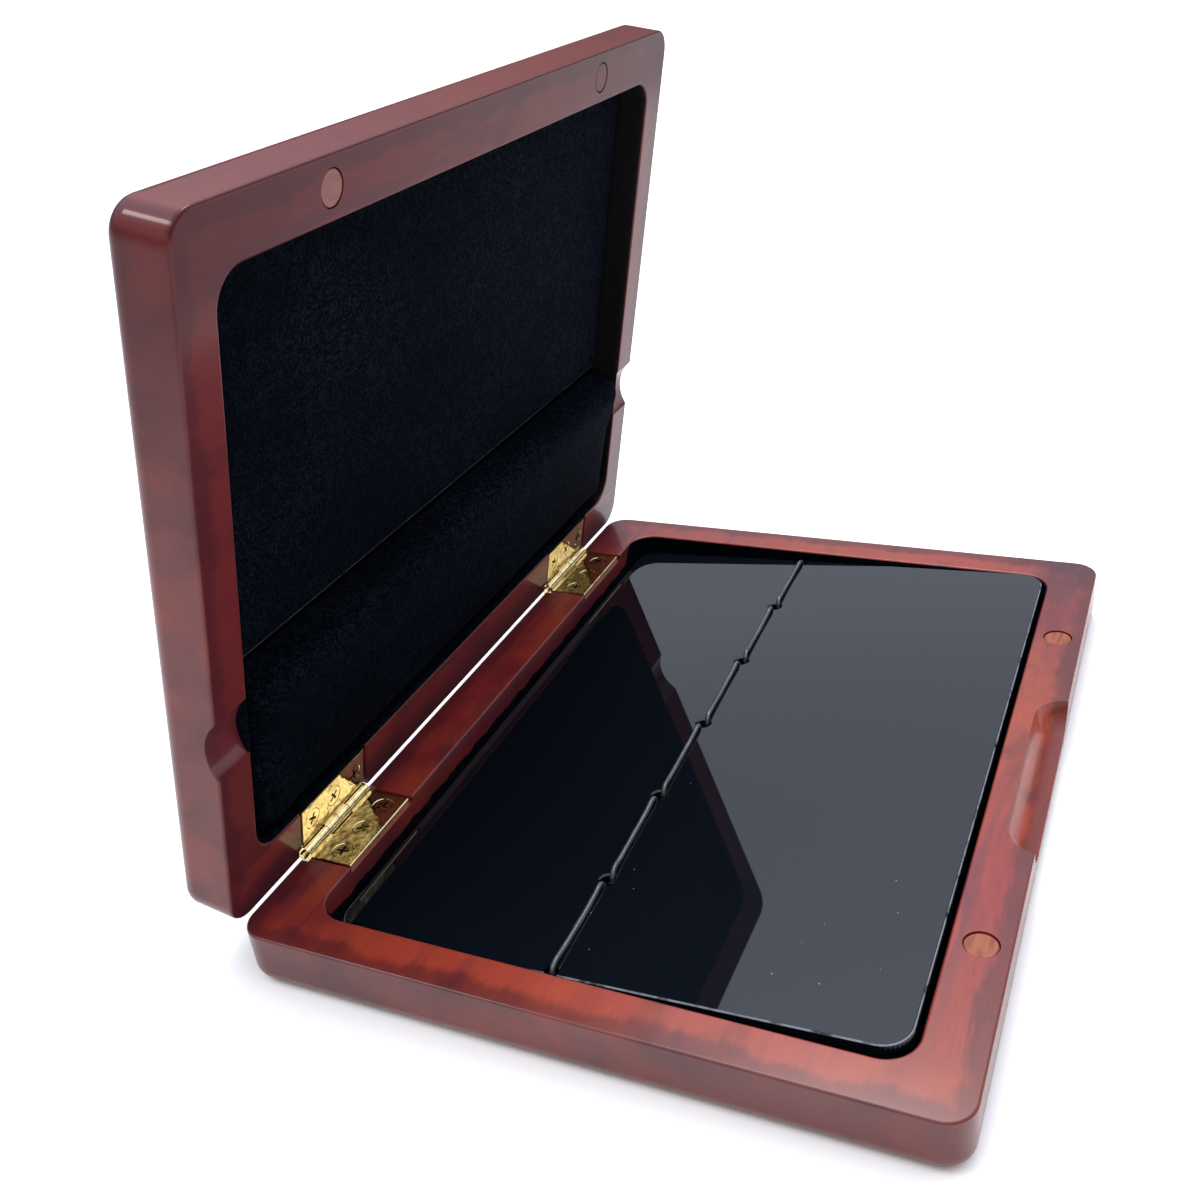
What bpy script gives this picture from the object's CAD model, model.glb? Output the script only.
import logging
import math
from dataclasses import dataclass
from enum import Enum
from typing import Mapping, Optional, Sequence, Union

import bmesh
import bpy
import numpy as np
from bpy.types import Material, Mesh, NodeSocket, Object, World
from mathutils import Matrix, Vector


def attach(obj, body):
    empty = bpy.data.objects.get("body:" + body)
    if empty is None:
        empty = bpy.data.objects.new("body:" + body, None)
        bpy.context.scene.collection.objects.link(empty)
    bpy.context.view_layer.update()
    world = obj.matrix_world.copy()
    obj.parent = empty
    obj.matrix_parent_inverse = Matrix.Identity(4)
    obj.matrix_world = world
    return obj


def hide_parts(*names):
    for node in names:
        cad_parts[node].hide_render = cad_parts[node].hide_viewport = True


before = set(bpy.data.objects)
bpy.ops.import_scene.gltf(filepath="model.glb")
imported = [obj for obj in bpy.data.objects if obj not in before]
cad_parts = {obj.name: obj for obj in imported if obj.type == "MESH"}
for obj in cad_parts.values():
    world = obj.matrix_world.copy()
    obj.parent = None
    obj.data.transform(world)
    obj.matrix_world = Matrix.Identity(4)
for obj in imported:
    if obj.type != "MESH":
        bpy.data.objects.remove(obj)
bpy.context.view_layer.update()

LOG = logging.getLogger("reed_case")

# Sizes below are in millimetres unless a name says otherwise, and meshes are written in metres.
MM = 0.001
LID_ANGLE = math.radians(78.0)
PIN_PLACE = Vector((0.0, 48.62, 8.525)) * MM
LID_SWING = (
    Matrix.Translation(PIN_PLACE) @ Matrix.Rotation(-LID_ANGLE, 4, "X") @ Matrix.Translation(-PIN_PLACE)
)
PLATE_TILT = math.radians(2.85)
PLATE_PLACE = Vector((0.2, -0.7163, 4.9872)) * MM
PLATE_REST = Matrix.Translation(PLATE_PLACE) @ Matrix.Rotation(-PLATE_TILT, 4, "X")
SIDES = ("left", "right")

Band = tuple[float, float]
Triple = tuple[float, float, float]
Colour = tuple[float, float, float, float]
Faces = list[tuple[int, ...]]
Value = Union["Signal", float, Sequence[float]]


class Body(Enum):
    """The two halves that pieces ride on."""

    BASE = "base"
    LID = "lid"


class Slot(Enum):
    """Material slots of the record that new pieces take their finish from."""

    LINING = "black_lining"
    VELVET = "black_velvet"
    ELASTIC = "elastic"


class Signal:
    """An output socket of a shader tree, on which Python operators add Math nodes."""

    def __init__(self, tree: "ShaderTree", socket: NodeSocket) -> None:
        """Keep the socket and the tree that holds it."""
        self.tree = tree
        self.socket = socket

    def math(self, operation: str, *others: Value) -> "Signal":
        """Return the result of a Math node that starts from this value and goes on with others."""
        values = dict(enumerate((self, *others)))
        return self.tree.node("ShaderNodeMath", {"operation": operation}, values)

    def output(self, name: str) -> "Signal":
        """Return another output of the node that this one comes from."""
        return Signal(self.tree, self.socket.node.outputs[name])

    def step(self, low: float, high: float) -> "Signal":
        """Return a smooth step from 0 at low to 1 at high, where low may be the larger."""
        inputs = {"Value": self, "From Min": low, "From Max": high}
        return self.tree.node("ShaderNodeMapRange", {"interpolation_type": "SMOOTHSTEP"}, inputs)

    def __add__(self, other: Value) -> "Signal":
        """Return the sum."""
        return self.math("ADD", other)

    def __sub__(self, other: Value) -> "Signal":
        """Return the difference."""
        return self.math("SUBTRACT", other)

    def __rsub__(self, other: float) -> "Signal":
        """Return a number less this value."""
        return self.tree.node("ShaderNodeMath", {"operation": "SUBTRACT"}, {0: other, 1: self})

    def __mul__(self, other: Value) -> "Signal":
        """Return the product."""
        return self.math("MULTIPLY", other)

    def __abs__(self) -> "Signal":
        """Return the size without its sign."""
        return self.math("ABSOLUTE")


class ShaderTree:
    """The node tree of one material or of the world."""

    def __init__(self, owner: Union[Material, World]) -> None:
        """Start an empty tree on its owner."""
        self.owner = owner
        owner.use_nodes = True
        self.nodes = owner.node_tree.nodes
        self.links = owner.node_tree.links
        self.nodes.clear()

    @classmethod
    def of_material(cls, name: str) -> "ShaderTree":
        """Return the tree of a new material."""
        return cls(bpy.data.materials.new(name))

    def node(
        self,
        kind: str,
        settings: Optional[Mapping[str, object]] = None,
        inputs: Optional[Mapping[Union[int, str], Value]] = None,
        output: Union[int, str] = 0,
    ) -> Signal:
        """Add a node.

        Args:
            kind: the node's type.
            settings: its properties, which are set first.
            inputs: a value or a link for each named or numbered socket.
            output: the socket to return.

        Returns:
            The chosen output.
        """
        made = self.nodes.new(kind)
        for key, value in (settings or {}).items():
            setattr(made, key, value)
        for key, value in (inputs or {}).items():
            if isinstance(value, Signal):
                self.links.new(value.socket, made.inputs[key])
            else:
                made.inputs[key].default_value = value
        return Signal(self, made.outputs[output])

    def scaled(self, vector: Signal, factors: Sequence[float]) -> Signal:
        """Return a vector times one factor for each axis."""
        return self.node("ShaderNodeVectorMath", {"operation": "MULTIPLY"}, {0: vector, 1: factors})

    def mix(self, share: Value, first: Value, second: Value) -> Signal:
        """Return a mix of two colours, all the first at a share of 0 and all the second at 1."""
        settings = {"data_type": "RGBA", "blend_type": "MIX", "clamp_factor": True}
        return self.node("ShaderNodeMix", settings, {0: share, 6: first, 7: second}, 2)

    def layered(self, colour: Value, *stains: tuple[Signal, Colour]) -> Signal:
        """Lay stains on a colour, one over the other.

        Args:
            colour: the colour under them.
            stains: the share and the tone of each.

        Returns:
            The stained colour.
        """
        for share, tone in stains:
            colour = self.mix(share, colour, tone)
        return colour

    def spot(self, on_lid: bool) -> Signal:
        """Return the place on the piece in millimetres, with the lid's pieces turned shut."""
        place = self.node("ShaderNodeTexCoord", output="Object")
        if on_lid:
            turn = {"Vector": place, "Center": PIN_PLACE, "Angle": LID_ANGLE}
            place = self.node("ShaderNodeVectorRotate", {"rotation_type": "X_AXIS"}, turn)
        return self.scaled(place, (1 / MM,) * 3)

    def axes(self, vector: Signal) -> tuple[Signal, Signal, Signal]:
        """Return the three parts of a vector."""
        first = self.node("ShaderNodeSeparateXYZ", None, {0: vector}, "X")
        return first, first.output("Y"), first.output("Z")

    def noise(self, spot: Signal, per_mm: Triple, detail: float = 2.0, rough: float = 0.5) -> Signal:
        """Return soft noise from 0 to 1, by its features in a millimetre and the weight of finer ones."""
        inputs = {"Vector": self.scaled(spot, per_mm), "Scale": 1.0, "Detail": detail, "Roughness": rough}
        return self.node("ShaderNodeTexNoise", None, inputs)

    def grains(self, spot: Signal, per_mm: float, radius: float, share: float) -> Signal:
        """Return 1 on specks scattered over a level face and 0 between them.

        Args:
            spot: the place in millimetres.
            per_mm: how many places for a speck there are in a millimetre.
            radius: a speck's radius, in millimetres.
            share: the share of the places that hold one.

        Returns:
            The specks.
        """
        flat = self.scaled(spot, (1.0, 1.0, 0.0))
        near = self.node("ShaderNodeTexVoronoi", None, {"Vector": flat, "Scale": per_mm}, "Distance")
        chance = self.node("ShaderNodeSeparateColor", None, {0: near.output("Color")}, "Red")
        reach = radius * per_mm
        return near.step(reach, reach * 0.6) * chance.step(share, share - 0.01)

    def bump(self, height: Signal, depth: float, under: Optional[Signal] = None) -> Signal:
        """Return a normal that follows a height.

        Args:
            height: the height, from 0 to 1.
            depth: what 1 stands for, in millimetres.
            under: a normal that this one is added to.

        Returns:
            The normal.
        """
        inputs = {"Height": height, "Strength": 1.0, "Distance": depth * MM}
        if under is not None:
            inputs["Normal"] = under
        return self.node("ShaderNodeBump", None, inputs)

    def finish(self, inputs: Mapping[str, Value]) -> Material:
        """Close the tree with one Principled surface and return the material."""
        self.close("ShaderNodeOutputMaterial", self.node("ShaderNodeBsdfPrincipled", None, inputs))
        return self.owner

    def close(self, kind: str, surface: Signal) -> None:
        """Link a surface or background to a new output node."""
        out = self.nodes.new(kind)
        self.links.new(surface.socket, out.inputs["Surface"])


@dataclass(frozen=True)
class LacqueredWood:
    """Red-stained wood with its grain along the hinges, under clear gloss lacquer.

    A band holds the place where a stain starts, then the one where it is full, with the lid shut.
    """

    name: str
    on_lid: bool
    glow_share: float
    rim_share: float
    near_sill_share: float
    specular: float
    inside: Band
    at_rim: Band
    deep: Colour = (0.042, 0.0060, 0.0095, 1.0)
    red: Colour = (0.200, 0.0145, 0.0165, 1.0)
    glow: Colour = (0.300, 0.043, 0.0175, 1.0)
    plum: Colour = (0.085, 0.018, 0.026, 1.0)
    end_light: Colour = (0.120, 0.029, 0.028, 1.0)
    end_dark: Colour = (0.080, 0.020, 0.023, 1.0)
    backing: Colour = (0.0012, 0.0017, 0.0026, 1.0)
    card: Colour = (0.090, 0.100, 0.112, 1.0)
    half_x: float = 65.0
    half_y: float = 48.5
    end_rail: Band = (57.0, 59.0)
    end_face: Band = (64.4, 64.85)
    high_end: Band = (5.0, 46.0)
    front_face: Band = (48.0, 48.4)
    hinge_side: Band = (32.0, 44.0)
    corner_x: Band = (42.0, 62.0)
    corner_y: Band = (32.0, 47.0)
    back_wall: Band = (39.95, 40.25)
    past_wall: Band = (40.35, 40.65)
    back_rim: Band = (45.25, 42.45)
    sill: Band = (32.5, 42.5)
    near_sill: Band = (-25.0, -55.0)
    far_sill: Band = (-25.0, 45.0)
    rim_face: Band = (9.2, 8.8)
    outer_edge: Band = (3.3, 1.7)
    notch_y: float = 17.5
    notch_half: Band = (5.2, 4.4)
    notch_low: Band = (8.8, 9.3)
    notch_high: Band = (11.2, 10.8)
    pocket_middle: float = -0.25
    pocket_x: Band = (58.7, 58.6)
    pocket_y: Band = (40.7, 40.6)
    floor_low: Band = (13.9, 14.0)
    floor_high: Band = (15.2, 15.1)
    card_y: float = 12.85
    card_half: Band = (1.2, 0.6)
    card_run: Band = (45.0, 5.0)
    gloss: float = 0.30
    coat: float = 0.38

    def build(self) -> Material:
        """Return the finished material."""
        return LacquerShader(self).build()


class LacquerShader:
    """The shader of one wooden half, from the figure in the wood up to the lacquer."""

    def __init__(self, wood: LacqueredWood) -> None:
        """Make the figure in the wood and the places that its stains keep to."""
        self.wood = wood
        self.tree = tree = ShaderTree.of_material(wood.name)
        self.spot = tree.spot(wood.on_lid)
        self.x, self.y, self.z = tree.axes(self.spot)
        self.forward = self.y * -1.0

        drift = tree.noise(self.spot, (0.018, 0.03, 0.03), 1.0) - 0.5
        bend = tree.node("ShaderNodeCombineXYZ", None, {"Y": drift * 10.0, "Z": drift * 6.0})
        bent = tree.node("ShaderNodeVectorMath", {"operation": "ADD"}, {0: self.spot, 1: bend})
        self.clouds = tree.noise(bent, (0.030, 0.070, 0.070), 3.0, 0.55)
        self.blots = tree.noise(bent, (0.070, 0.11, 0.11), 3.0, 0.6)
        self.streaks = tree.noise(bent, (0.026, 0.34, 0.34), 4.0, 0.62)
        self.fibres = tree.noise(bent, (0.16, 4.2, 4.2), 3.0, 0.65)
        self.pores = tree.noise(bent, (0.30, 3.4, 3.4), 1.0).step(0.70, 0.78)

        inside = self.z.step(*wood.inside)
        at_rim = self.z.step(*wood.at_rim)
        past_wall = self.y.step(*wood.past_wall)
        self.on_rail = abs(self.x).step(*wood.end_rail) * inside
        self.on_end = abs(self.x).step(*wood.end_face)
        self.on_front = self.forward.step(*wood.front_face)
        self.on_sill = self.forward.step(*wood.sill) * at_rim
        self.by_hinge = self.y.step(*wood.hinge_side)
        self.back_wall = self.y.step(*wood.back_wall) * (1.0 - past_wall) * inside
        self.back_rim = self.y.step(*wood.back_rim) * past_wall * at_rim

    def along_grain(self) -> Signal:
        """Return the colour of the faces that the grain runs along."""
        wood, blots, clouds = self.wood, self.blots, self.clouds
        glowing = clouds.step(0.36, 0.64).math("MAXIMUM", self.on_rail * 0.65)
        glowing = glowing * (1.0 - self.by_hinge * 0.7)
        corner = abs(self.x).step(*wood.corner_x) * abs(self.y).step(*wood.corner_y)
        near_sill = self.on_sill * self.x.step(*wood.near_sill)
        far_sill = self.on_sill * self.x.step(*wood.far_sill)
        rim = self.z.step(*wood.rim_face) * (1.0 - self.back_rim * 0.75)
        # Each row holds a stain's share, from the places and noise that it follows, and its tone.
        return self.tree.layered(
            wood.red,
            (glowing * wood.glow_share, wood.glow),
            (blots.step(0.48, 0.74) * 0.58, wood.deep),
            (self.streaks.step(0.50, 0.68) * (0.80 - self.on_rail * 0.55), wood.plum),
            (self.by_hinge * 0.06, wood.deep),
            (corner * blots.step(0.30, 0.60) * 0.50, wood.plum),
            (self.back_wall * (blots.step(0.35, 0.60) * 0.4 + 0.35), wood.plum),
            (self.back_rim * blots.step(0.62, 0.40) * 0.5 * wood.glow_share, wood.glow),
            (near_sill * wood.near_sill_share, wood.deep if wood.on_lid else wood.glow),
            (far_sill * blots.step(0.25, 0.60) * 0.55, wood.deep),
            (self.on_front * (clouds.step(0.30, 0.60) * 0.4 + 0.55), wood.glow),
            (self.fibres.step(0.40, 0.72) * (0.22 - self.on_rail * 0.12), wood.deep),
            (self.pores * 0.30, wood.deep),
            (self.outer_edge() * 0.60, wood.deep),
            (rim * wood.rim_share, wood.deep),
        )

    def outer_edge(self) -> Signal:
        """Return the band along the outer edges where stain gathers, frayed along the grain."""
        from_edge = (self.wood.half_x - abs(self.x)).math("MINIMUM", self.wood.half_y - abs(self.y))
        uneven = from_edge - (self.blots - 0.5) * 6.0 - (self.fibres - 0.5) * 1.8
        return uneven.step(*self.wood.outer_edge)

    def end_grain(self) -> Signal:
        """Return the colour of the two ends."""
        dark = (self.blots.step(0.35, 0.70), self.wood.end_dark)
        return self.tree.layered(
            self.wood.end_light, dark, (self.clouds.step(0.46, 0.62) * 0.22, self.wood.glow)
        )

    def notch(self) -> Signal:
        """Return 1 in the notches of the lid's end rails and 0 elsewhere."""
        across = self.on_rail * abs(self.y - self.wood.notch_y).step(*self.wood.notch_half)
        return across * (self.z.step(*self.wood.notch_low) * self.z.step(*self.wood.notch_high))

    def pocket_floor(self) -> Signal:
        """Return 1 on the floor of the lid's pocket and 0 elsewhere."""
        wood = self.wood
        across = abs(self.x).step(*wood.pocket_x) * abs(self.y - wood.pocket_middle).step(*wood.pocket_y)
        return across * self.z.step(*wood.floor_low) * self.z.step(*wood.floor_high)

    def pad_backing(self) -> Signal:
        """Return the black backing under the pads, with a pale edge of card between the two."""
        wood = self.wood
        pale = abs(self.y - wood.card_y).step(*wood.card_half) * self.x.step(*wood.card_run)
        return self.tree.mix(pale, wood.backing, wood.card)

    def build(self) -> Material:
        """Return the finished material."""
        wood, tree = self.wood, self.tree
        colour = self.along_grain()
        end_tone = self.end_grain()
        coat = wood.coat - self.on_end * 0.03
        if wood.on_lid:
            high_end = self.on_end * self.forward.step(*wood.high_end)
            top_sill = self.on_sill * (1.0 - self.on_front) * (1.0 - self.on_end)
            coat = coat - high_end * 0.18 - top_sill * 0.24
            end_tone = tree.mix(high_end * 0.55, end_tone, wood.deep)
            stains = (self.notch() * 0.75, wood.plum), (self.on_sill * 0.12, wood.deep)
            colour = tree.layered(colour, *stains)
        colour = tree.mix(self.on_end, colour, end_tone)
        if wood.on_lid:
            colour = tree.mix(self.pocket_floor(), colour, self.pad_backing())
        relief = tree.bump(self.pores * -1.0 + self.fibres * 0.5, 0.005)
        relief = tree.bump(tree.noise(self.spot, (0.8,) * 3, 3.0, 0.6), 0.008, relief)
        return tree.finish(
            {
                "Base Color": colour,
                "Roughness": self.fibres * 0.10 + self.blots * 0.06 + wood.gloss,
                "IOR": 1.5,
                "Specular IOR Level": wood.specular,
                "Normal": relief,
                "Coat Weight": coat,
                "Coat Roughness": 0.13,
            }
        )


@dataclass(frozen=True)
class PlainWood:
    """Wood of one tone with fine end grain."""

    name: str
    on_lid: bool
    light: Colour
    dark: Colour
    roughness: float
    coat: float

    def build(self) -> Material:
        """Return the finished material."""
        tree = ShaderTree.of_material(self.name)
        spot = tree.spot(self.on_lid)
        bands = tree.noise(spot, (0.25, 1.6, 1.6), 3.0, 0.6)
        dots = tree.noise(spot, (5.0,) * 3, 2.0).step(0.52, 0.72)
        stains = (bands.step(0.35, 0.70), self.dark), (dots * 0.4, self.dark)
        return tree.finish(
            {
                "Base Color": tree.layered(self.light, *stains),
                "Roughness": bands * 0.1 + self.roughness,
                "Specular IOR Level": 0.2,
                "Coat Weight": self.coat,
                "Coat Roughness": 0.03,
                "Normal": tree.bump(dots * -1.0 + bands * 0.4, 0.012),
            }
        )


@dataclass(frozen=True)
class PolishedMetal:
    """Polished metal with waves from stamping, fine rubs, a little tarnish and grime in its hollows."""

    name: str
    tone: Colour
    shade: Colour
    roughness: float
    wave: float
    on_lid: bool = False
    face: Optional[float] = None
    screw_line: float = 43.72
    screw_half: Band = (1.95, 1.75)
    grime: Colour = (0.110, 0.072, 0.030, 1.0)
    grime_depth: Band = (0.07, 0.17)

    def build(self) -> Material:
        """Return the finished material."""
        tree = ShaderTree.of_material(self.name)
        spot = tree.spot(self.on_lid)
        waves = tree.noise(spot, (0.42,) * 3, 1.0)
        dents = tree.noise(spot, (1.3,) * 3, 2.0, 0.6)
        rubs = tree.noise(spot, (0.5, 14.0, 14.0), 2.0, 0.7)
        tarnish = tree.noise(spot, (0.9,) * 3, 4.0, 0.65).step(0.46, 0.72)
        relief = tree.bump(waves + dents * 0.35, self.wave)
        relief = tree.bump(rubs, self.wave * 0.02, relief)
        colour = tree.mix(tarnish, self.tone, self.shade)
        if self.face is not None:
            _, y, z = tree.axes(spot)
            depth = z - self.face if self.on_lid else self.face - z
            hollow = depth.step(*self.grime_depth) * abs(y - self.screw_line).step(*self.screw_half)
            colour = tree.mix(hollow * 0.80, colour, self.grime)
        return tree.finish(
            {
                "Base Color": colour,
                "Metallic": 1.0,
                "Roughness": rubs * 0.06 + tarnish * 0.10 + self.roughness,
                "Normal": relief,
            }
        )


@dataclass(frozen=True)
class BlackGloss:
    """Polished black plate with hairline rubs, and dust by the cord and the near front corner."""

    name: str
    black: Colour = (0.0030, 0.0044, 0.0072, 1.0)
    dust: Colour = (0.46, 0.50, 0.56, 1.0)
    scuff: Colour = (0.20, 0.22, 0.25, 1.0)
    gloss: float = 0.012
    centre: tuple[float, float] = (0.2, -0.66)
    half: tuple[float, float] = (57.45, 39.32)
    corner_radius: float = 4.0
    bevel_inner: Band = (0.22, 0.16)
    bevel_outer: Band = (0.01, 0.05)
    cord_y: float = 5.2
    cord_half: Band = (6.0, 1.0)
    cord_run: Band = (10.0, -30.0)
    corner: tuple[float, float] = (-40.0, -26.0)
    corner_x: Band = (16.0, 4.0)
    corner_y: Band = (12.0, 3.0)
    clean_x: Band = (-51.0, -45.0)
    clean_y: Band = (33.0, 37.0)

    def build(self) -> Material:
        """Return the finished material."""
        tree = ShaderTree.of_material(self.name)
        spot = tree.spot(False)
        x, y, _ = tree.axes(spot)
        by_cord = abs(y - self.cord_y).step(*self.cord_half) * x.step(*self.cord_run)
        by_corner = abs(x - self.corner[0]).step(*self.corner_x)
        by_corner = by_corner * abs(y - self.corner[1]).step(*self.corner_y)
        fine = tree.grains(spot, 0.50, 0.12, 0.36) * by_cord.math("MAXIMUM", by_corner)
        dust = fine.math("MAXIMUM", tree.grains(spot, 0.070, 0.17, 0.30))
        hairlines = tree.noise(spot, (9.0, 0.12, 9.0), 1.0).step(0.70, 0.80)
        smear = tree.noise(spot, (0.06, 0.09, 0.06), 3.0)
        patchy = tree.noise(spot, (0.5,) * 3, 2.0).step(0.25, 0.55)
        edge = self.edge(x, y) * patchy * (1.0 - y.step(*self.clean_y) * x.step(*self.clean_x))
        rubbed = dust.math("MAXIMUM", edge) * 0.5
        return tree.finish(
            {
                "Base Color": tree.layered(self.black, (dust, self.dust), (edge, self.scuff)),
                "Roughness": rubbed + hairlines * 0.03 + smear * 0.02 + self.gloss,
                "IOR": 1.5,
                "Normal": tree.bump(dust, 0.02),
            }
        )

    def edge(self, x: Signal, y: Signal) -> Signal:
        """Return 1 on the bevel round the plate's upper edge and 0 elsewhere.

        Args:
            x: the place along the hinges.
            y: the place across them.

        Returns:
            The bevel.
        """
        past = []
        for place, middle, half in zip((x, y), self.centre, self.half):
            past.append((abs(place - middle) - (half - self.corner_radius)).math("MAXIMUM", 0.0))
        inside = self.corner_radius - (past[0] * past[0] + past[1] * past[1]).math("SQRT")
        return inside.step(*self.bevel_inner) * inside.step(*self.bevel_outer)


@dataclass(frozen=True)
class Pile:
    """Short black pile with brushed patches, a little lint and a worn line along the folds."""

    name: str
    on_lid: bool
    dark: Colour = (0.0005, 0.0010, 0.0019, 1.0)
    brushed: Colour = (0.0082, 0.0114, 0.0200, 1.0)
    lint: Colour = (0.30, 0.31, 0.30, 1.0)
    worn: Colour = (0.130, 0.138, 0.145, 1.0)
    far_tone: Colour = (0.0120, 0.0105, 0.0112, 1.0)
    sheen: float = 0.016
    sheen_tone: Colour = (0.24, 0.37, 0.68, 1.0)
    far_from: Optional[Band] = None
    fold_y: Optional[float] = None
    fold_half: Band = (0.50, 0.20)
    fold_z: Band = (11.6, 12.2)
    brushed_run: Band = (-60.0, 50.0)

    def build(self) -> Material:
        """Return the finished material."""
        tree = ShaderTree.of_material(self.name)
        spot = tree.spot(self.on_lid)
        x, y, z = tree.axes(spot)
        tufts = tree.noise(spot, (2.1,) * 3, 3.0, 0.7)
        clumps = tree.noise(spot, (0.75,) * 3, 3.0, 0.6)
        patches = tree.noise(spot, (0.045, 0.06, 0.06), 2.0, 0.5).step(0.30, 0.70)
        nap = tufts.step(0.47, 0.66) * 0.75 + clumps.step(0.45, 0.66) * 0.25
        stains = [(nap * (patches * 0.7 + 0.3), self.brushed)]
        stains.append((tree.grains(spot, 0.11, 0.10, 0.12), self.lint))
        if self.far_from is not None:
            stains.append((x.step(*self.far_from) * 0.8, self.far_tone))
        if self.fold_y is not None:
            stains.append((x.step(*self.brushed_run) * nap * 0.5, self.brushed))
            crease = abs(y - self.fold_y).step(*self.fold_half) * z.step(*self.fold_z)
            stains.append((crease * clumps.step(0.30, 0.55), self.worn))
        return tree.finish(
            {
                "Base Color": tree.layered(self.dark, *stains),
                "Roughness": 0.92,
                "Specular IOR Level": 0.015,
                "Sheen Weight": self.sheen,
                "Sheen Roughness": 0.42,
                "Sheen Tint": self.sheen_tone,
                "Normal": tree.bump(tufts, 0.12, tree.bump(clumps, 0.10)),
            }
        )


@dataclass(frozen=True)
class BraidedCover:
    """Black thread braided over elastic."""

    name: str
    thread: Colour = (0.028, 0.032, 0.037, 1.0)
    rubbed: Colour = (0.140, 0.158, 0.180, 1.0)

    def build(self) -> Material:
        """Return the finished material."""
        tree = ShaderTree.of_material(self.name)
        spot = tree.spot(False)
        strands = tree.noise(spot, (7.0, 18.0, 18.0), 2.0, 0.6)
        wear = tree.noise(spot, (0.35, 2.0, 2.0), 2.0).step(0.45, 0.75)
        return tree.finish(
            {
                "Base Color": tree.mix(strands.step(0.35, 0.70) * wear, self.thread, self.rubbed),
                "Roughness": strands * 0.12 + 0.24,
                "Specular IOR Level": 1.0,
                "Normal": tree.bump(strands, 0.02),
            }
        )


def linked(name: str, data: bpy.types.ID) -> Object:
    """Add an object to the scene.

    Args:
        name: its name.
        data: its mesh, curve, camera or lamp.

    Returns:
        The new object.
    """
    made = bpy.data.objects.new(name, data)
    bpy.context.scene.collection.objects.link(made)
    return made


def piece(name: str, points: np.ndarray, faces: Faces, body: Body) -> Object:
    """Add a smooth mesh piece that rides on one half.

    Args:
        name: the piece's name.
        points: its points, in metres.
        faces: the points of each face.
        body: the half that carries it.

    Returns:
        The new object.
    """
    mesh = bpy.data.meshes.new(name)
    mesh.from_pydata([tuple(point) for point in points], [], faces)
    mesh.validate()
    mesh.shade_smooth()
    LOG.info("%s: %d faces", name, len(mesh.polygons))
    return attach(linked(name, mesh), body.value)


def ring_faces(rows: int, columns: int, capped: bool = False) -> Faces:
    """Return the faces between rings of points that are given ring by ring.

    Args:
        rows: the number of rings.
        columns: the number of points in a ring.
        capped: whether the first and the last ring are filled.

    Returns:
        The faces.
    """
    faces = []
    for row in range(0, (rows - 1) * columns, columns):
        for column in range(columns):
            after = (column + 1) % columns
            faces.append((row + column, row + after, row + columns + after, row + columns + column))
    if capped:
        last = (rows - 1) * columns
        faces += [tuple(reversed(range(columns))), tuple(range(last, last + columns))]
    return faces


def shown_mesh(made: Object) -> Mesh:
    """Return a copy of an object's mesh with its modifiers applied."""
    view = bpy.context.evaluated_depsgraph_get()
    return bpy.data.meshes.new_from_object(made.evaluated_get(view))


def mesh_points(mesh: Mesh) -> np.ndarray:
    """Return a mesh's points as rows of three numbers."""
    flat = np.zeros(len(mesh.vertices) * 3)
    mesh.vertices.foreach_get("co", flat)
    return flat.reshape(-1, 3)


def dress(nodes: Sequence[str], finish: Material) -> None:
    """Give nodes of the frame a finish.

    Args:
        nodes: the nodes' names.
        finish: the material.
    """
    for name in nodes:
        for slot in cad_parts[name].material_slots:
            slot.material = finish
        LOG.info("%s: %s", name, finish.name)


@dataclass
class Wooden:
    """The two wooden halves, the plugs over their magnets and the strip under the plate."""

    base_wood: LacqueredWood = LacqueredWood(
        "red_lacquer_base", False, glow_share=1.0, rim_share=0.0, near_sill_share=0.5, specular=0.22,
        inside=(1.5, 3.0), at_rim=(7.6, 8.2),
    )
    lid_wood: LacqueredWood = LacqueredWood(
        "red_lacquer_lid", True, glow_share=0.36, rim_share=0.6, near_sill_share=0.25, specular=0.07,
        inside=(11.4, 11.0), at_rim=(9.4, 9.0),
    )
    base_plug: tuple[Colour, Colour] = ((0.29, 0.082, 0.036, 1.0), (0.18, 0.042, 0.020, 1.0))
    lid_plug: tuple[Colour, Colour] = ((0.19, 0.050, 0.034, 1.0), (0.13, 0.032, 0.023, 1.0))
    bare: tuple[Colour, Colour] = ((0.42, 0.25, 0.13, 1.0), (0.27, 0.14, 0.07, 1.0))

    def dress(self) -> None:
        """Give the wooden nodes their finishes, with the lid's right plug in the rim's own."""
        dress(["base_tray"], self.base_wood.build())
        base_plug = PlainWood("plug_wood_base", False, *self.base_plug, roughness=0.24, coat=0.12)
        dress([f"base_plug_{side}" for side in SIDES], base_plug.build())
        lid_plug = PlainWood("plug_wood_lid", True, *self.lid_plug, roughness=0.24, coat=0.12)
        dress(["lid_plug_left"], lid_plug.build())
        dress(["lid_tray", "lid_plug_right"], self.lid_wood.build())
        bare = PlainWood("sanded_wood", False, *self.bare, roughness=0.55, coat=0.0)
        dress(["front_bearer"], bare.build())


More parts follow.
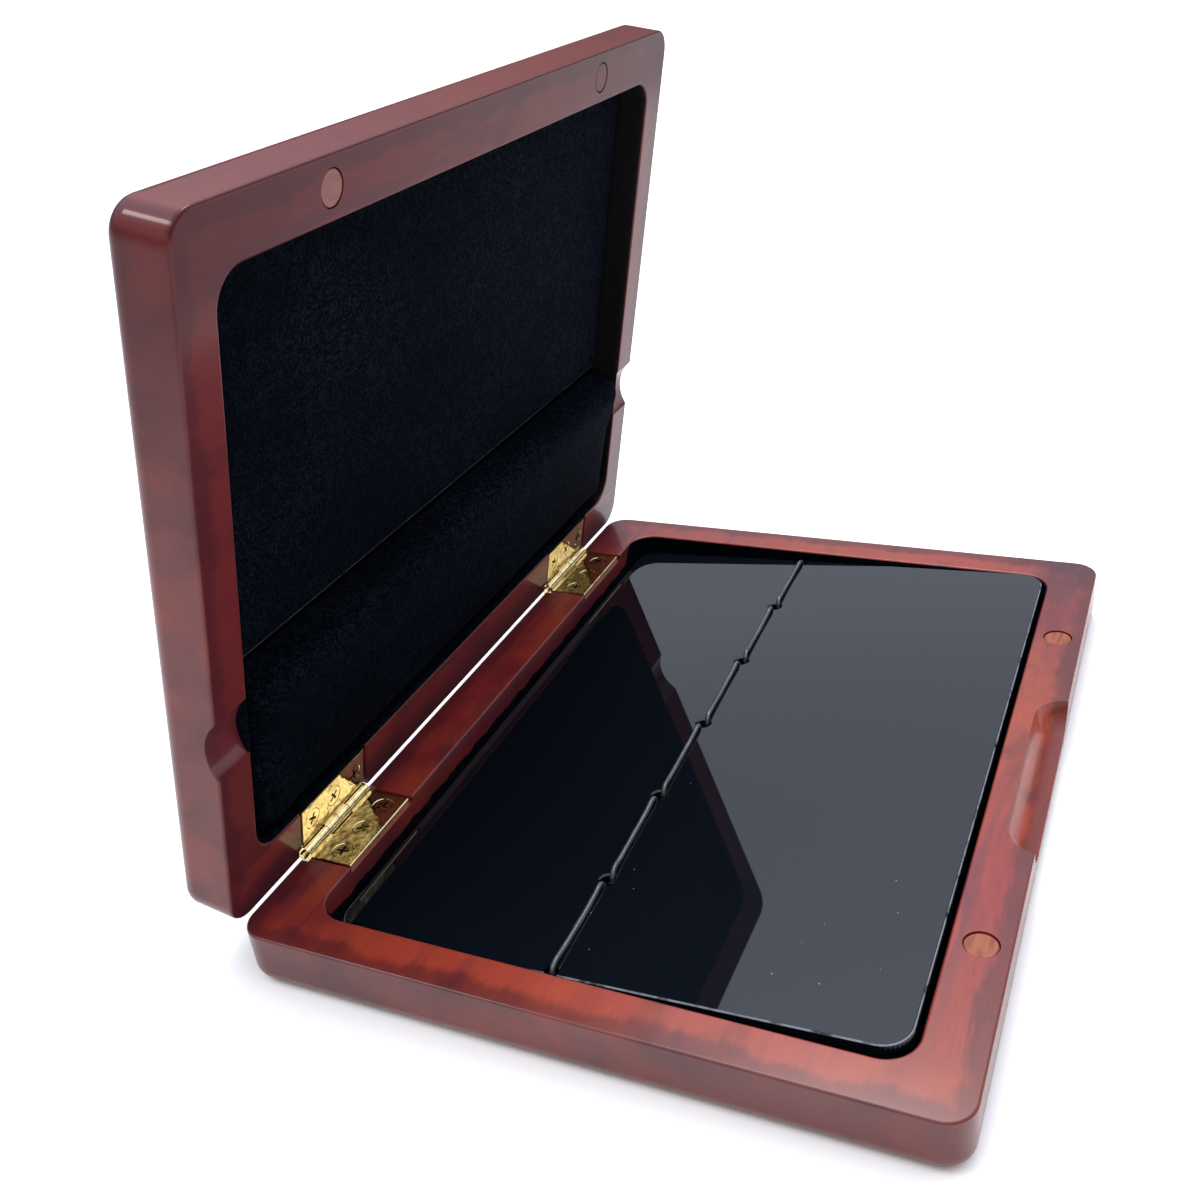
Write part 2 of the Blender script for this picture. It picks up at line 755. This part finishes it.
@dataclass
class Fittings:
    """The polished plate, hinges with their pins and screws, magnets and the pins in the cord's loops."""

    brass: Colour = (0.84, 0.68, 0.36, 1.0)
    brass_shade: Colour = (0.52, 0.36, 0.15, 1.0)
    brass_roughness: float = 0.06
    brass_wave: float = 0.085
    base_face: float = 8.42
    lid_face: float = 8.63
    nickel: Colour = (0.62, 0.61, 0.59, 1.0)
    nickel_shade: Colour = (0.48, 0.47, 0.45, 1.0)
    nickel_roughness: float = 0.16
    nickel_wave: float = 0.006

    def dress(self) -> None:
        """Give the plate and the metal nodes their finishes."""
        dress(["reed_plate"], BlackGloss("black_gloss").build())
        brass = self.brass, self.brass_shade, self.brass_roughness, self.brass_wave
        pin = PolishedMetal("polished_brass_pin", *brass).build()
        nickel = self.nickel, self.nickel_shade, self.nickel_roughness, self.nickel_wave
        nickel_plate = PolishedMetal("nickel_plate", *nickel).build()
        dress([f"hinge_pin_{side}" for side in SIDES], pin)
        for body, face in ((Body.BASE, self.base_face), (Body.LID, self.lid_face)):
            leaf = PolishedMetal(f"polished_brass_{body.value}", *brass, body is Body.LID, face).build()
            for side in SIDES:
                dress([f"{body.value}_leaf_{side}", f"{body.value}_screws_{side}"], leaf)
                dress([f"{body.value}_magnet_{side}"], nickel_plate)
        dress(["cord_pins"], nickel_plate)


@dataclass
class StitchedCord:
    """Black elastic stitched through the plate, over it between the holes and round a pin under each."""

    radius: float = 0.375
    pitch: float = 19.5
    holes: tuple[int, ...] = (2, 1, 0, -1, -2)
    line: float = 5.7
    over: float = 2.615
    lift: float = 0.35
    run_point: float = 4.5
    leg_x: float = 0.657
    leg_y: float = 0.306
    loop_x: float = 0.85
    loop_y: float = 0.40
    loop: float = -1.2
    end: float = 56.95
    knot: float = 53.45
    under: float = -0.455
    knot_radius: float = 0.7
    knot_gap: float = 0.04
    knot_relief: float = 0.10
    knot_turns: int = 3
    knot_twist: int = 4
    knot_rings: int = 25
    knot_points: int = 40
    knot_span: float = 0.497 * math.pi
    length: float = 156.7
    smoothness: int = 20
    ring_step: float = 0.14
    ring_points: int = 24
    braid_turn: float = 1.5
    braid_strands: int = 6
    braid_relief: float = 0.05

    def route(self) -> list[Triple]:
        """Return the corners of the cord's way on the plate, from one knot to the other."""
        top = self.over + self.lift
        points = [(self.knot, self.line, self.under), (self.end, self.line, self.under)]
        points += [(self.end, self.line, top), (self.end - self.run_point, self.line, self.over)]
        dip = [(self.run_point, self.leg_y / 2, self.over)]
        dip += [(self.leg_x, self.leg_y, top), (self.loop_x, self.loop_y, self.loop)]
        for hole in self.holes:
            x = hole * self.pitch
            points += [(x + along, self.line - aside, height) for along, aside, height in dip]
            points += [(x - along, self.line + aside, height) for along, aside, height in reversed(dip)]
        points += [(self.run_point - self.end, self.line, self.over), (-self.end, self.line, top)]
        points += [(-self.end, self.line, self.under), (-self.knot, self.line, self.under)]
        return points

    def centreline(self) -> np.ndarray:
        """Return points of the smooth line through the route, in metres in the frame."""
        curve = bpy.data.curves.new("cord_line", "CURVE")
        curve.dimensions = "3D"
        spline = curve.splines.new("NURBS")
        route = [PLATE_REST @ (Vector(point) * MM) for point in self.route()]
        spline.points.add(len(route) - 1)
        for control, place in zip(spline.points, route):
            control.co = (*place, 1.0)
        spline.order_u = 3
        spline.use_endpoint_u = True
        spline.resolution_u = self.smoothness
        holder = linked("cord_line", curve)
        line = mesh_points(shown_mesh(holder))
        bpy.data.objects.remove(holder)
        return line

    def tube(self, line: np.ndarray) -> tuple[np.ndarray, Faces]:
        """Return the braided surface round a line.

        Args:
            line: points of the line, in metres.

        Returns:
            Its points and faces.
        """
        run = np.concatenate([[0.0], np.cumsum(np.linalg.norm(np.diff(line, axis=0), axis=1))])
        along = np.linspace(0.0, run[-1], int(run[-1] / (self.ring_step * MM)) + 1)
        centres = np.stack([np.interp(along, run, line[:, axis]) for axis in range(3)], axis=1)
        tangents = np.gradient(centres, axis=0)
        tangents /= np.linalg.norm(tangents, axis=1, keepdims=True)
        side = np.cross(tangents[0], (0.0, 1.0, 0.0))
        angles = np.linspace(0.0, 2 * math.pi, self.ring_points, endpoint=False)
        rings = []
        for centre, tangent, distance in zip(centres, tangents, along):
            side = side - tangent * float(side @ tangent)
            side /= np.linalg.norm(side)
            up = np.cross(tangent, side)
            turn = distance / (self.braid_turn * MM) * 2 * math.pi / self.braid_strands
            one_way = np.cos(self.braid_strands * (angles + turn))
            weave = one_way * np.cos(self.braid_strands * (angles - turn))
            reach = self.radius * MM * (1.0 + self.braid_relief * (weave - 1.0))
            ring = centre + np.outer(reach * np.cos(angles), side) + np.outer(reach * np.sin(angles), up)
            rings.append(ring)
        return np.concatenate(rings), ring_faces(len(rings), self.ring_points, True)

    def knot_shape(self) -> tuple[np.ndarray, Faces]:
        """Return the points, in metres, and faces of a pulled-tight knot about the origin."""
        latitude = np.linspace(-self.knot_span, self.knot_span, self.knot_rings)[:, None]
        longitude = np.linspace(0.0, 2 * math.pi, self.knot_points, endpoint=False)[None, :]
        turns = np.cos(self.knot_turns * longitude + self.knot_twist * latitude)
        swelling = 1.0 - self.knot_relief + self.knot_relief * turns * np.cos(latitude)
        reach = self.knot_radius * MM * swelling
        flat = reach * np.cos(latitude)
        axes = reach * np.sin(latitude), flat * np.cos(longitude), flat * np.sin(longitude)
        points = np.stack(axes, axis=-1).reshape(-1, 3)
        return points, ring_faces(self.knot_rings, self.knot_points, True)

    def build(self) -> None:
        """Make the cord and its knots in place of the cord's node."""
        finish = BraidedCover("black_braid").build()
        line = self.centreline()
        points, faces = self.tube(line)
        cord = piece("stitched_cord", points, faces, Body.BASE)
        knots = []
        shape, shape_faces = self.knot_shape()
        for side, sign in (("right", 1), ("left", -1)):
            height = -self.knot_gap - self.knot_radius
            place = PLATE_REST @ (Vector((sign * self.knot, self.line, height)) * MM)
            knots.append(piece(f"cord_knot_{side}", shape + np.array(place), shape_faces, Body.BASE))
        for made in (cord, *knots):
            made.data.materials.append(finish)
        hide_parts("elastic_cord")


@dataclass(frozen=True)
class VelvetPad:
    """A velvet pad that swells from a slightly smaller shape by a cloth simulation."""

    name: str
    node: str
    shrink: float
    voxel: float
    pressure: float
    cap: float
    fill: float
    glued_above: float = 13.6
    weld_reach: float = 0.01
    enlarge: float = 10.0
    frames: int = 20

    def blank(self) -> Object:
        """Return the shrunken shape, shut and enlarged for the simulation."""
        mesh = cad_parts[self.node].data.copy()
        mesh.transform(Matrix.Scale(self.enlarge, 4) @ LID_SWING.inverted())
        made = linked(f"{self.name}_blank", mesh)
        weld = made.modifiers.new("weld", "WELD")
        weld.merge_threshold = self.weld_reach * MM * self.enlarge
        inner = made.modifiers.new("inner", "DISPLACE")
        inner.mid_level = 0.0
        inner.strength = -self.shrink * MM * self.enlarge
        even = made.modifiers.new("even", "REMESH")
        even.mode = "VOXEL"
        even.voxel_size = self.voxel * MM * self.enlarge
        mesh = shown_mesh(made)
        made.modifiers.clear()
        made.data = mesh
        return made

    def swell(self, made: Object) -> None:
        """Blow the shape up under its cover, held where it is glued, and keep the result.

        Args:
            made: the object, whose mesh is changed.
        """
        start = mesh_points(made.data)
        glued = made.vertex_groups.new(name="glued")
        held = np.nonzero(start[:, 2] > self.glued_above * MM * self.enlarge)[0]
        glued.add([int(index) for index in held], 1.0, "REPLACE")
        cloth = made.modifiers.new("cover", "CLOTH")
        cloth.settings.vertex_group_mass = glued.name
        cloth.settings.use_pressure = True
        cloth.settings.uniform_pressure_force = self.pressure
        cloth.settings.effector_weights.gravity = 0.0
        cloth.collision_settings.use_collision = False
        scene = bpy.context.scene
        for step in range(1, self.frames + 1):
            scene.frame_set(step)
        swollen = mesh_points(shown_mesh(made))
        made.modifiers.clear()
        scene.frame_set(1)
        move = swollen - start
        size = np.linalg.norm(move, axis=1, keepdims=True)
        limit = self.cap * MM * self.enlarge
        move *= np.minimum(1.0, limit / np.maximum(size, 1e-9))
        made.data.vertices.foreach_set("co", (start + move).ravel())
        made.data.update()

    def build(self, finish: Material) -> Object:
        """Make the pad in place of its node.

        Args:
            finish: the velvet.

        Returns:
            The pad.
        """
        made = self.blank()
        self.swell(made)
        made.name = self.name
        made.data.name = self.name
        made.data.transform(LID_SWING @ Matrix.Scale(1.0 / self.enlarge, 4))
        made.data.materials.clear()
        made.data.materials.append(finish)
        made.data.shade_smooth()
        smooth = made.modifiers.new("smooth", "SUBSURF")
        smooth.levels = 1
        smooth.render_levels = 1
        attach(made, Body.LID.value)
        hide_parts(self.node)
        LOG.info("%s: %d faces", self.name, len(made.data.polygons))
        return made


@dataclass(frozen=True)
class PocketOutline:
    """The rounded outline that both linings follow, just clear of the pocket's walls."""

    half_x: float = 58.42
    front: float = -40.72
    back: float = 40.22
    corner: float = 4.42
    corner_steps: int = 10
    side_steps: int = 70
    end_steps: int = 110

    def points(self) -> np.ndarray:
        """Return points round the outline as rows of (x, y), starting on the hinge side."""
        reach = np.array([self.half_x, (self.back - self.front) / 2]) - self.corner
        centres = [reach * signs for signs in ((1, 1), (-1, 1), (-1, -1), (1, -1))]
        rows = []
        for quarter, centre in enumerate(centres):
            angles = np.linspace(quarter, quarter + 1, self.corner_steps) * math.pi / 2
            arc = self.corner * np.column_stack([np.cos(angles), np.sin(angles)])
            following = centres[(quarter + 1) % 4]
            steps = self.side_steps if quarter % 2 else self.end_steps
            rows += [centre + arc, np.linspace(centre, following, steps)[1:-1] + arc[-1]]
        return np.concatenate(rows) + (0.0, (self.front + self.back) / 2)

    def inset(self, points: np.ndarray, by: float) -> np.ndarray:
        """Return the outline's points moved in from it.

        Args:
            points: the outline's points.
            by: how far they move.

        Returns:
            The moved points.
        """
        middle = (self.front + self.back) / 2
        half = np.array([self.half_x, (self.back - self.front) / 2])
        place = points - (0.0, middle)
        centre = np.clip(place, self.corner - half, half - self.corner)
        share = max(0.0, 1.0 - by / self.corner)
        limit = np.maximum(half - max(by, self.corner), 0.0)
        return np.clip(centre, -limit, limit) + (place - centre) * share + (0.0, middle)


@dataclass
class Lining:
    """Pile that follows the walls of a pocket."""

    outline: PocketOutline = PocketOutline()
    thickness: float = 0.44
    weld_reach: float = 0.001

    def thicken(self, made: Object, finish: Material) -> None:
        """Join points of a sheet that lie on each other, then give it its pile and its thickness.

        Args:
            made: the sheet.
            finish: the pile.
        """
        work = bmesh.new()
        work.from_mesh(made.data)
        bmesh.ops.remove_doubles(work, verts=work.verts, dist=self.weld_reach * MM)
        bmesh.ops.dissolve_degenerate(work, edges=work.edges, dist=self.weld_reach * MM)
        work.to_mesh(made.data)
        work.free()
        made.data.shade_smooth()
        made.data.materials.append(finish)
        thick = made.modifiers.new("thickness", "SOLIDIFY")
        thick.thickness = self.thickness * MM
        thick.offset = 1.0


@dataclass
class BaseLining(Lining):
    """Pile lining pressed into the base's pocket, turned up round the walls and lower at the hinges."""

    low: float = 2.53
    high: float = 8.27
    back_high: float = 5.02
    back_fray: float = 0.30
    fray_waves: tuple[Triple, ...] = ((0.9, 0.0, 0.5), (2.3, 1.0, 0.3), (5.1, 2.0, 0.2))
    near_reach: float = 3.6
    slope: float = 3.0
    fold: float = 0.9
    fold_steps: int = 6
    wall_steps: int = 8
    floor_steps: int = 12

    def top(self, points: np.ndarray) -> np.ndarray:
        """Return the height of the lining's upper edge round the outline.

        Args:
            points: the outline's points.

        Returns:
            The heights.
        """
        x, y = points.T
        straight = self.outline.half_x - self.outline.corner
        ends = np.where(x < 0, straight + self.near_reach, straight)
        along = np.clip((ends - np.abs(x)) / self.slope, 0.0, 1.0) * (y > 0)
        fray = sum(np.sin(x * rate + start) * share for rate, start, share in self.fray_waves)
        lowered = self.back_high + fray * self.back_fray
        return self.high + (lowered - self.high) * along * along * (3 - 2 * along)

    def build(self, finish: Material) -> None:
        """Make the sheet in place of its node.

        Args:
            finish: the pile.
        """
        edge = self.outline.points()
        depth = (self.outline.back - self.outline.front) / 2
        wall = self.low + self.fold
        rise = self.top(edge) - wall
        level = np.ones(len(edge))
        rows = []
        for by in np.linspace(depth, self.fold, self.floor_steps)[:-1]:
            rows.append((self.outline.inset(edge, by), self.low * level))
        for angle in np.linspace(0.0, math.pi / 2, self.fold_steps):
            flat = self.outline.inset(edge, self.fold * (1 - math.sin(angle)))
            rows.append((flat, (self.low + self.fold * (1 - math.cos(angle))) * level))
        for share in np.linspace(0.0, 1.0, self.wall_steps)[1:]:
            rows.append((edge, wall + rise * share))
        points = np.concatenate([np.column_stack(row) for row in rows]) * MM
        made = piece("base_pile_lining", points, ring_faces(len(rows), len(edge)), Body.BASE)
        self.thicken(made, finish)
        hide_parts("base_lining")


@dataclass
class LidLining(Lining):
    """Pile strip round the lid's pocket walls, from its floor up to just inside the rim."""

    low: float = 8.78
    high: float = 14.47
    height_steps: int = 7

    def build(self, finish: Material) -> None:
        """Make the strip in place of its node.

        Args:
            finish: the pile.
        """
        edge = self.outline.points()
        heights = np.linspace(self.low, self.high, self.height_steps)
        points = np.array([LID_SWING @ (Vector((x, y, z)) * MM) for z in heights for x, y in edge])
        made = piece("lid_pile_lining", points, ring_faces(len(heights), len(edge)), Body.LID)
        self.thicken(made, finish)
        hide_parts("lid_lining")


@dataclass
class Upholstery:
    """Everything soft in the case: the lid's bolster and panel, and the linings of both halves."""

    fold_y: float = 12.6
    far_end: Band = (53.0, 57.0)
    bolster: VelvetPad = VelvetPad(
        "velvet_bolster", "lid_bolster", shrink=0.32, voxel=1.0, pressure=4.0, cap=0.30, fill=0.85
    )
    panel: VelvetPad = VelvetPad(
        "velvet_panel", "lid_panel", shrink=0.20, voxel=0.8, pressure=3.0, cap=0.18, fill=0.95
    )

    def build(self) -> None:
        """Make every soft piece."""
        velvet = Pile("black_velvet_pile", True, fold_y=self.fold_y).build()
        self.bolster.build(velvet)
        self.panel.build(velvet)
        strip = Pile("black_strip_pile", True, far_from=self.far_end).build()
        LidLining().build(strip)
        BaseLining().build(Pile("black_lining_pile", False).build())


@dataclass
class Studio:
    """Camera at the photograph's place, a pale floor and soft light."""

    eye: Triple = (-160.11, -60.24, 126.37)
    right: Triple = (0.40036, -0.91086, -0.10019)
    up: Triple = (0.47851, 0.11457, 0.87058)
    forward: Triple = (0.78150, 0.39649, -0.48173)
    focal: float = 38.909
    sensor: float = 36.0
    floor_half: float = 8000.0
    floor_tone: Colour = (0.96, 0.955, 0.94, 1.0)
    sky_tone: Colour = (0.91, 0.98, 1.14, 1.0)
    sky_low: float = 0.08
    sky_rim: float = 1.05
    rim_band: Band = (0.15, 0.04)
    sky_middle: float = 1.0
    middle_band: Band = (0.25, 0.48)
    sky_high: float = 1.6
    high_band: Band = (0.50, 1.0)
    far_band: Band = (-0.8, 0.3)
    near_share: float = 0.72
    near_tone: Colour = (1.0, 0.98, 0.97, 1.0)
    far_way: Triple = (0.87, 0.49, 0.0)
    key_tone: Triple = (1.0, 0.96, 0.90)
    key_strength: float = 1.3
    key_spread: float = 22.0
    key_from: Triple = (0.47, 0.13, 0.87)
    pane_strength: float = 0.42
    pane_spread: float = 10.0
    pane_from: Triple = (-0.31, 0.48, 0.82)

    def camera(self) -> None:
        """Add the camera."""
        data = bpy.data.cameras.new("camera")
        data.sensor_fit = "HORIZONTAL"
        data.sensor_width = self.sensor
        data.lens = self.focal
        data.clip_start = 5 * MM
        holder = linked("camera", data)
        back = -Vector(self.forward)
        turn = Matrix((self.right, self.up, back)).transposed().to_4x4()
        holder.matrix_world = Matrix.Translation(Vector(self.eye) * MM) @ turn
        bpy.context.scene.camera = holder

    def floor(self) -> None:
        """Add the floor."""
        reach = self.floor_half * MM
        mesh = bpy.data.meshes.new("floor")
        corners = [(-reach, -reach, 0), (reach, -reach, 0), (reach, reach, 0), (-reach, reach, 0)]
        mesh.from_pydata(corners, [], [(0, 1, 2, 3)])
        tree = ShaderTree.of_material("pale_floor")
        mesh.materials.append(tree.finish({"Base Color": self.floor_tone, "Roughness": 0.85}))
        linked("floor", mesh)

    def light(self) -> None:
        """Add a tent of soft light, brightest overhead and beyond, a soft key and a small pane."""
        scene = bpy.context.scene
        scene.world = bpy.data.worlds.new("studio")
        tree = ShaderTree(scene.world)
        way = tree.node("ShaderNodeTexCoord", output="Generated")
        _, _, height = tree.axes(way)
        dot = {"operation": "DOT_PRODUCT"}
        ahead = tree.node("ShaderNodeVectorMath", dot, {0: way, 1: self.far_way}, "Value")
        tent = height.step(*self.middle_band) * self.sky_middle
        tent = tent + height.step(*self.high_band) * self.sky_high + self.sky_low
        tent = tent + height.step(*self.rim_band) * self.sky_rim
        beyond = ahead.step(*self.far_band)
        light = tent * (beyond * (1.0 - self.near_share) + self.near_share)
        tone = tree.mix(beyond, self.near_tone, self.sky_tone)
        sky = tree.node("ShaderNodeBackground", None, {"Color": tone, "Strength": light})
        tree.close("ShaderNodeOutputWorld", sky)
        self.lamp("key", self.key_strength, self.key_spread, self.key_from)
        self.lamp("pane", self.pane_strength, self.pane_spread, self.pane_from)
        scene.view_settings.view_transform = "Standard"

    def lamp(self, name: str, strength: float, spread: float, origin: Sequence[float]) -> None:
        """Add a distant lamp.

        Args:
            name: the lamp's name.
            strength: the light it throws on a face that looks at it.
            spread: how wide it looks, in degrees.
            origin: the way to it.
        """
        data = bpy.data.lights.new(name, "SUN")
        data.color = self.key_tone
        data.energy = strength
        data.angle = math.radians(spread)
        turn = Vector(origin).to_track_quat("Z", "Y")
        linked(name, data).matrix_world = turn.to_matrix().to_4x4()

    def build(self) -> None:
        """Set up the picture."""
        self.camera()
        self.floor()
        self.light()


def main() -> None:
    """Build and dress the case in order."""
    logging.basicConfig(level=logging.INFO, format="%(name)s: %(message)s")
    Studio().build()
    StitchedCord().build()
    Wooden().dress()
    Fittings().dress()
    Upholstery().build()


if __name__ == "__main__":
    main()
    bpy.context.view_layer.update()
